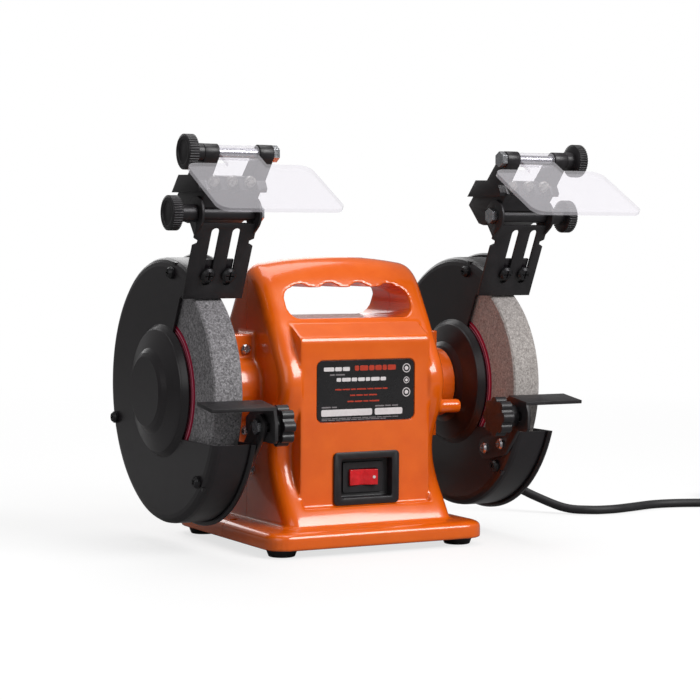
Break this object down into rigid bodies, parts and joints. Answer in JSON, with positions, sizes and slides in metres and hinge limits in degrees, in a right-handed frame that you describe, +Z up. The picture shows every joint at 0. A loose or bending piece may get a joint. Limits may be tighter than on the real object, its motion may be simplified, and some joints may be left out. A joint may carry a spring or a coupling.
{
  "type": "bench grinder",
  "caption": "Bench grinder with two grinding wheels in sheet guards, clear flip shields with lamps, tool rests and a carrying handle.",
  "frame": {"origin": "on the floor, under the middle of the machine's bounding box without its cord", "axes": "X along the axle to the right as seen from the front, front faces -Y, +Z up"},
  "size_m": [0.6149, 0.2856, 0.2678],
  "materials": {
    "housing_paint": "glossy orange paint over moulded plastic",
    "guard_paint": "satin black paint on pressed sheet steel",
    "bracket_black": "semi-matt black paint on bent sheet steel",
    "black_plastic": "moulded black plastic, lightly grained",
    "rubber_black": "soft black rubber",
    "label_film": "dark printed plate with plain coloured bars and no lettering",
    "rocker_red": "translucent red rocker with one pale dot",
    "grit_dark": "coarse grey grit, slightly speckled",
    "grit_light": "fine pale grit, slightly speckled",
    "blotter_paper": "crimson card washer with thin pale rings",
    "steel_plain": "bare turned or stamped steel",
    "steel_plated": "bright zinc-plated fastener",
    "cast_alloy": "plain cast alloy",
    "lamination": "stacked sheet-steel laminations",
    "copper_winding": "varnished copper windings with bound ends",
    "white_plastic": "plain white plastic",
    "clear_sheet": "clear moulded plastic sheet",
    "lens_clear": "clear lens over a pale light-emitting chip"
  },
  "bodies": {
    "frame": {"housing_front": "housing_paint", "housing_rear": "housing_paint", "housing_screws": "steel_plated", "base_plate": "bracket_black", "base_screws": "steel_plated", "feet": "rubber_black", "label_plate": "label_film", "switch_bezel": "black_plastic", "switch_body": "black_plastic", "stator_core": "lamination", "stator_windings": "copper_winding", "bearing_cups": "cast_alloy", "shaft_bearings": "steel_plain", "capacitor": "white_plastic", "terminal_block": "white_plastic", "cord_gland": "rubber_black", "mains_cord": "rubber_black", "cord_coil": "rubber_black", "mains_plug": "rubber_black", "cord_tie": "black_plastic", "guard_pan_left": "guard_paint", "guard_pan_right": "guard_paint", "guard_disc_left": "guard_paint", "guard_disc_right": "guard_paint", "guard_screws": "bracket_black", "hub_screws": "steel_plated", "slide_screws": "bracket_black", "rest_arms": "bracket_black", "arm_screws": "steel_plated"},
    "rotor": {"shaft": "steel_plain", "rotor_core": "lamination", "inner_flanges": "steel_plain", "outer_flanges": "steel_plain", "wheel_nuts": "steel_plain", "wheel_left": "grit_dark", "wheel_right": "grit_light", "blotters": "blotter_paper"},
    "rocker": {"switch_rocker": "rocker_red"},
    "slide_left": {"slide_plate_left": "bracket_black", "low_bolt_left": "steel_plated"},
    "low_knob_unit_left": {"low_knob_left": "black_plastic"},
    "lamp_unit_left": {"lamp_left": "black_plastic", "lamp_lenses_left": "lens_clear", "top_bolt_left": "steel_plated"},
    "top_knob_unit_left": {"top_knob_left": "black_plastic"},
    "shield_unit_left": {"shield_left": "clear_sheet"},
    "rest_tilt_left": {"rest_bolt_left": "steel_plated"},
    "rest_unit_left": {"rest_left": "bracket_black"},
    "rest_knob_unit_left": {"rest_knob_left": "black_plastic"},
    "slide_right": {"slide_plate_right": "bracket_black", "low_bolt_right": "steel_plated"},
    "low_knob_unit_right": {"low_knob_right": "black_plastic"},
    "lamp_unit_right": {"lamp_right": "black_plastic", "lamp_lenses_right": "lens_clear", "top_bolt_right": "steel_plated"},
    "top_knob_unit_right": {"top_knob_right": "black_plastic"},
    "shield_unit_right": {"shield_right": "clear_sheet"},
    "rest_tilt_right": {"rest_bolt_right": "steel_plated"},
    "rest_unit_right": {"rest_right": "bracket_black"},
    "rest_knob_unit_right": {"rest_knob_right": "black_plastic"}
  },
  "joints": [
    {"name": "rotor_spin", "type": "hinge", "parent": "frame", "child": "rotor", "pos_m": [0, 0.0297, 0.1045], "axis": [1, 0, 0], "continuous": true},
    {"name": "rocker_tilt", "type": "hinge", "parent": "frame", "child": "rocker", "pos_m": [0, -0.0139, 0.0468], "axis": [0, 0, 1], "range_deg": [0, 12]},
    {"name": "slide_left_move", "type": "slide", "parent": "frame", "child": "slide_left", "axis": [0, -0.4226, 0.9063], "range_m": [-0.001, 0.0045]},
    {"name": "low_knob_left_turn", "type": "hinge", "parent": "slide_left", "child": "low_knob_unit_left", "pos_m": [-0.1094, -0.0368, 0.2195], "axis": [1, 0, 0], "range_deg": [-180, 180]},
    {"name": "lamp_left_tilt", "type": "hinge", "parent": "slide_left", "child": "lamp_unit_left", "pos_m": [-0.1094, -0.0368, 0.2195], "axis": [1, 0, 0], "range_deg": [-20, 35]},
    {"name": "top_knob_left_turn", "type": "hinge", "parent": "lamp_unit_left", "child": "top_knob_unit_left", "pos_m": [-0.1094, -0.0528, 0.2565], "axis": [1, 0, 0], "range_deg": [-180, 180]},
    {"name": "shield_left_flip", "type": "hinge", "parent": "lamp_unit_left", "child": "shield_unit_left", "pos_m": [-0.1094, -0.0528, 0.2565], "axis": [1, 0, 0], "range_deg": [-120, 20]},
    {"name": "rest_left_tilt", "type": "hinge", "parent": "frame", "child": "rest_tilt_left", "pos_m": [-0.1094, -0.0563, 0.087], "axis": [1, 0, 0], "range_deg": [-8, 8]},
    {"name": "rest_left_slide", "type": "slide", "parent": "rest_tilt_left", "child": "rest_unit_left", "axis": [0, -1, 0], "range_m": [-0.002, 0.013]},
    {"name": "rest_knob_left_turn", "type": "hinge", "parent": "rest_tilt_left", "child": "rest_knob_unit_left", "pos_m": [-0.1094, -0.0563, 0.087], "axis": [1, 0, 0], "range_deg": [-180, 180]},
    {"name": "slide_right_move", "type": "slide", "parent": "frame", "child": "slide_right", "axis": [0, -0.4226, 0.9063], "range_m": [-0.001, 0.0045]},
    {"name": "low_knob_right_turn", "type": "hinge", "parent": "slide_right", "child": "low_knob_unit_right", "pos_m": [0.1094, -0.0368, 0.2195], "axis": [1, 0, 0], "range_deg": [-180, 180]},
    {"name": "lamp_right_tilt", "type": "hinge", "parent": "slide_right", "child": "lamp_unit_right", "pos_m": [0.1094, -0.0368, 0.2195], "axis": [1, 0, 0], "range_deg": [-20, 35]},
    {"name": "top_knob_right_turn", "type": "hinge", "parent": "lamp_unit_right", "child": "top_knob_unit_right", "pos_m": [0.1094, -0.0528, 0.2565], "axis": [1, 0, 0], "range_deg": [-180, 180]},
    {"name": "shield_right_flip", "type": "hinge", "parent": "lamp_unit_right", "child": "shield_unit_right", "pos_m": [0.1094, -0.0528, 0.2565], "axis": [1, 0, 0], "range_deg": [-120, 20]},
    {"name": "rest_right_tilt", "type": "hinge", "parent": "frame", "child": "rest_tilt_right", "pos_m": [0.1094, -0.0563, 0.087], "axis": [1, 0, 0], "range_deg": [-8, 8]},
    {"name": "rest_right_slide", "type": "slide", "parent": "rest_tilt_right", "child": "rest_unit_right", "axis": [0, -1, 0], "range_m": [-0.002, 0.013]},
    {"name": "rest_knob_right_turn", "type": "hinge", "parent": "rest_tilt_right", "child": "rest_knob_unit_right", "pos_m": [0.1094, -0.0563, 0.087], "axis": [1, 0, 0], "range_deg": [-180, 180]}
  ]
}
